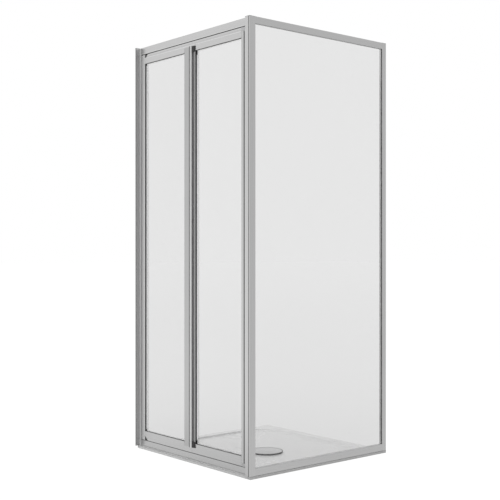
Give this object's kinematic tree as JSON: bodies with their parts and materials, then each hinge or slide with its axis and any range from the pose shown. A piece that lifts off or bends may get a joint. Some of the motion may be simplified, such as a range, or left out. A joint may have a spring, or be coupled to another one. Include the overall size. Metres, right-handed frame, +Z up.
{
  "type": "shower cabin",
  "caption": "Corner shower cabin: thin tray with domed waste cover, framed bifold door folding inward, framed clear glass side panel, wall profiles on both wall sides.",
  "frame": {"origin": "centre of the underside of the tray", "axes": "+Z up; +X along the door towards the side panel; +Y from the door into the cabin; the walls are at -X and +Y"},
  "size_m": [0.812, 0.814, 1.85],
  "materials": {
    "frame_aluminium": "satin anodised aluminium",
    "leaf_aluminium": "satin anodised aluminium",
    "pin_steel": "turned stainless steel",
    "waste_chrome": "polished chrome",
    "cover_plastic": "satin chromed dome",
    "clear_glass": "clear toughened glass",
    "tray_acrylic": "white sanitary acrylic",
    "black_plastic": "moulded black polyamide",
    "grey_plastic": "moulded grey plastic",
    "roller_nylon": "white nylon",
    "grey_rubber": "soft dark grey sealing rubber"
  },
  "bodies": {
    "cabin_frame": {"shower_tray": "tray_acrylic", "waste_flange": "waste_chrome", "waste_strainer": "waste_chrome", "corner_post": "frame_aluminium", "strike_profile": "frame_aluminium", "strike_strip": "grey_rubber", "door_wall_profile": "frame_aluminium", "door_jamb": "frame_aluminium", "jamb_screws": "pin_steel", "header_track": "frame_aluminium", "sill_track": "frame_aluminium", "pivot_blocks": "black_plastic", "panel_wall_profile": "frame_aluminium", "panel_top_rail": "frame_aluminium", "panel_bottom_rail": "frame_aluminium", "panel_glass": "clear_glass", "panel_gaskets": "grey_rubber", "profile_caps": "grey_plastic"},
    "leaf_1": {"leaf_1_pivot_stile": "leaf_aluminium", "leaf_1_hinge_stile": "leaf_aluminium", "leaf_1_top_rail": "leaf_aluminium", "leaf_1_bottom_rail": "leaf_aluminium", "leaf_1_cap": "leaf_aluminium", "leaf_1_sweep_seal": "grey_rubber", "leaf_1_glass": "clear_glass", "leaf_1_gaskets": "grey_rubber", "leaf_1_corner_blocks": "black_plastic", "pivot_carriers": "black_plastic", "pivot_pins": "pin_steel", "pivot_screws": "pin_steel", "knuckle_tube": "leaf_aluminium", "hinge_bushes": "black_plastic", "hinge_seal": "grey_rubber"},
    "leaf_2": {"leaf_2_hinge_stile": "leaf_aluminium", "leaf_2_closing_stile": "leaf_aluminium", "leaf_2_top_rail": "leaf_aluminium", "leaf_2_bottom_rail": "leaf_aluminium", "leaf_2_cap": "leaf_aluminium", "leaf_2_sweep_seal": "grey_rubber", "leaf_2_glass": "clear_glass", "leaf_2_gaskets": "grey_rubber", "hinge_blocks": "black_plastic", "hinge_pins": "leaf_aluminium", "magnetic_strip": "grey_rubber", "guide_carriers": "grey_plastic", "guide_pins": "pin_steel"},
    "top_roller": {"top_guide_roller": "roller_nylon"},
    "bottom_roller": {"bottom_guide_roller": "roller_nylon"},
    "waste_cover": {"waste_cover": "cover_plastic", "waste_cover_stem": "black_plastic"}
  },
  "joints": [
    {"name": "leaf_1_pivot", "type": "hinge", "parent": "cabin_frame", "child": "leaf_1", "pos_m": [-0.371, -0.38175, 0.04], "axis": [0, 0, 1], "range_deg": [0, 80]},
    {"name": "leaf_2_hinge", "type": "hinge", "parent": "leaf_1", "child": "leaf_2", "pos_m": [0.003, -0.3955, 0.066], "axis": [0, 0, 1], "range_deg": [-160, 0]},
    {"name": "top_roller_spin", "type": "hinge", "parent": "leaf_2", "child": "top_roller", "pos_m": [0.377, -0.38175, 1.828], "axis": [0, 0, 1], "continuous": true},
    {"name": "bottom_roller_spin", "type": "hinge", "parent": "leaf_2", "child": "bottom_roller", "pos_m": [0.377, -0.38175, 0.033], "axis": [0, 0, 1], "continuous": true},
    {"name": "cover_lift", "type": "slide", "parent": "cabin_frame", "child": "waste_cover", "axis": [0, 0, 1], "range_m": [0, 0.04]}
  ],
  "couplings": [
    {"joint": "leaf_2_hinge", "follows": "leaf_1_pivot", "ratio": -2}
  ]
}
